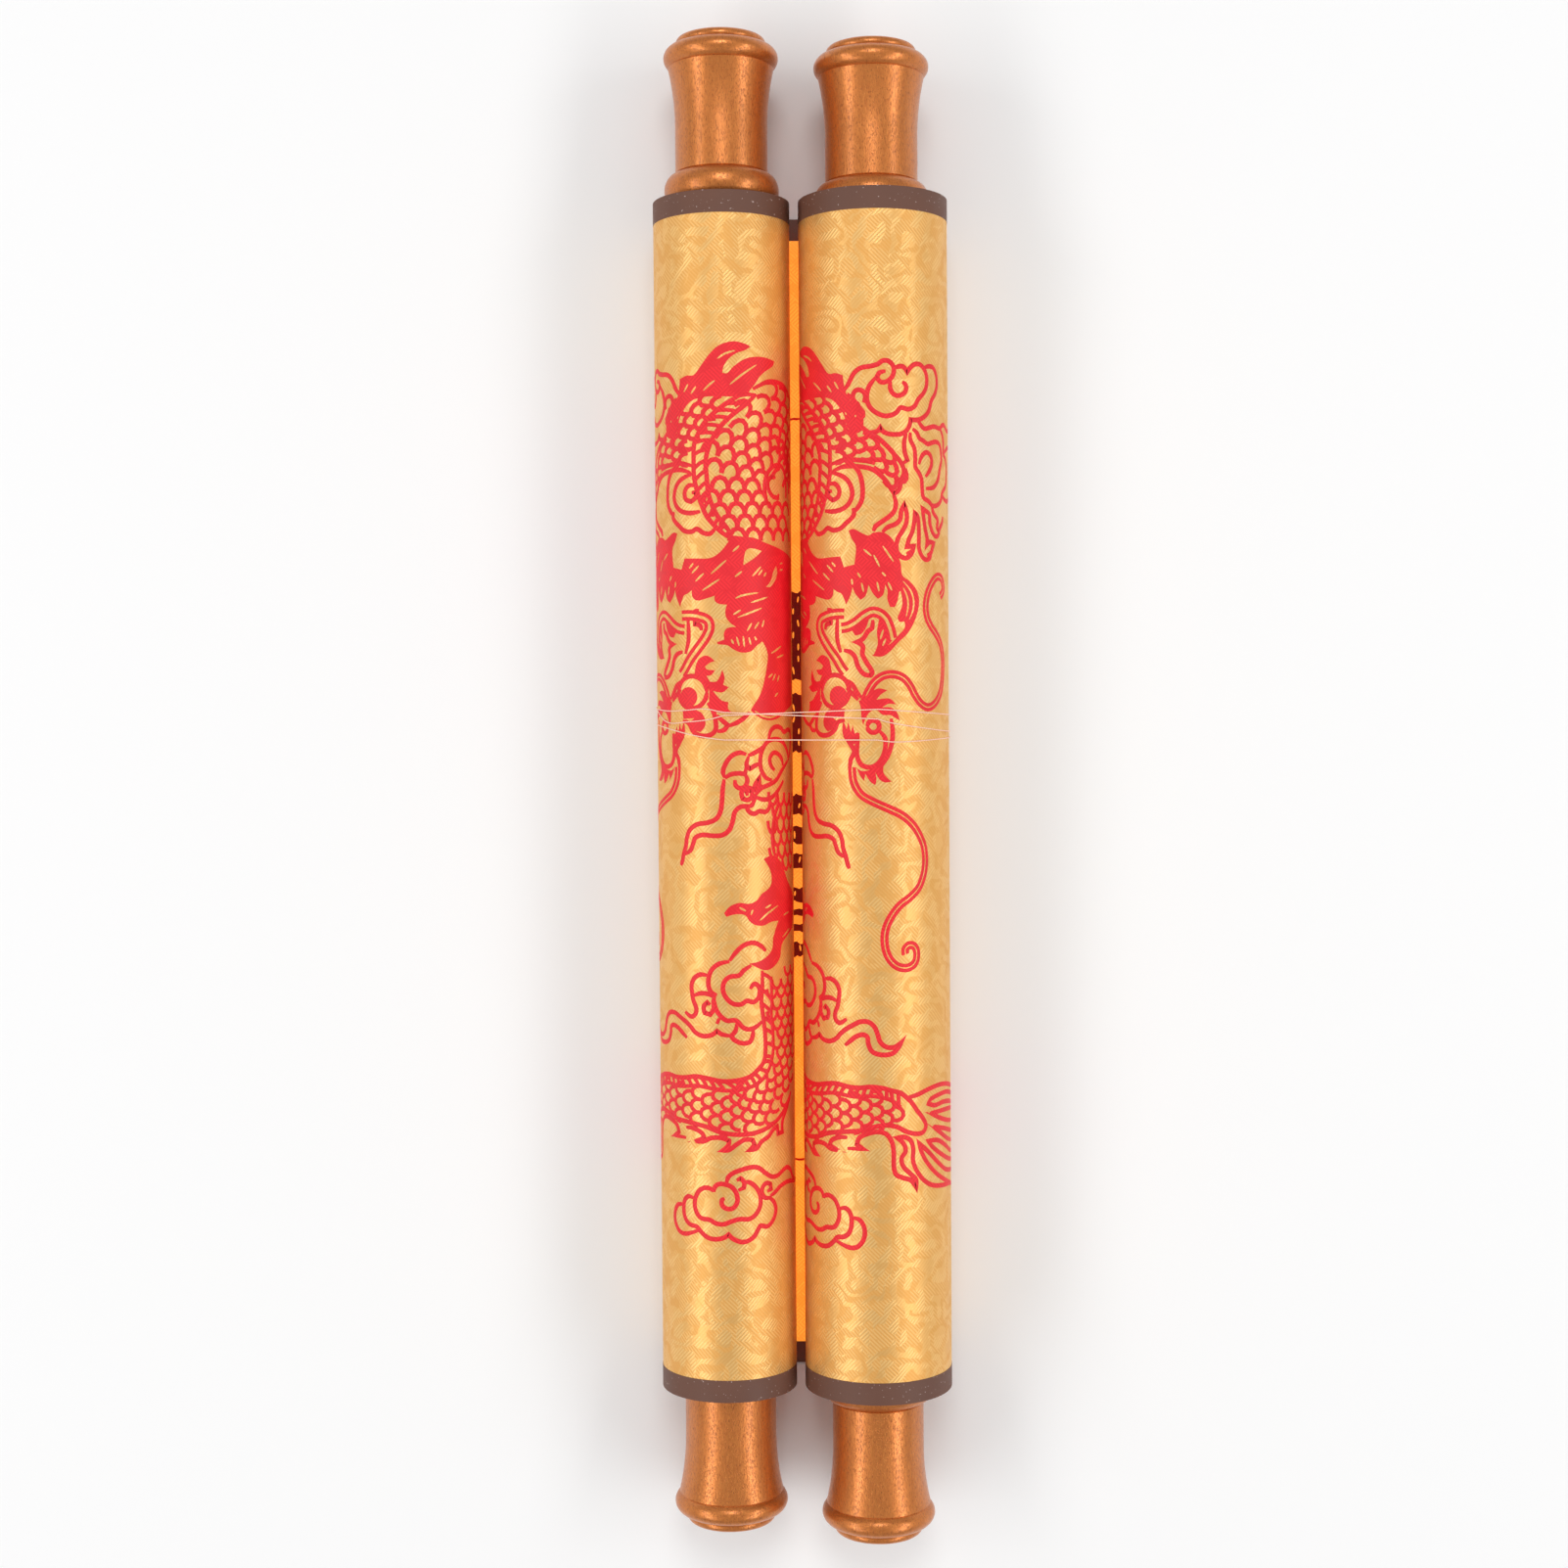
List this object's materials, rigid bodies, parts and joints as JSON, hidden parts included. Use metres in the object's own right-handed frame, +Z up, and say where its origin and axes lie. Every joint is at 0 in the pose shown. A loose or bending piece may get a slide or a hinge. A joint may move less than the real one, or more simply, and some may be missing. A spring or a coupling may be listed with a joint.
{
  "type": "paper scroll",
  "caption": "Closed paper scroll wound from both ends on two wooden rods with turned knobs, lying on its two rolls.",
  "frame": {"origin": "on the ground under the scroll, midway across the two rolls and midway between the outermost knob tips", "axes": "+X across the rolls from the left one to the right one, +Y along the rolls towards the top of the picture, +Z up"},
  "size_m": [0.074, 0.3794, 0.0378],
  "materials": {
    "sheet": "gold damask mounted on paper, satin, printed in red",
    "rod_wood": "plain turned wood",
    "knob_wood": "turned wood under bronze metallic paint, open grain"
  },
  "bodies": {
    "root": {"rolled_sheet": "sheet", "left_core_rod": "rod_wood", "right_core_rod": "rod_wood", "left_rod_knobs": "knob_wood", "right_rod_knobs": "knob_wood"}
  },
  "joints": []
}
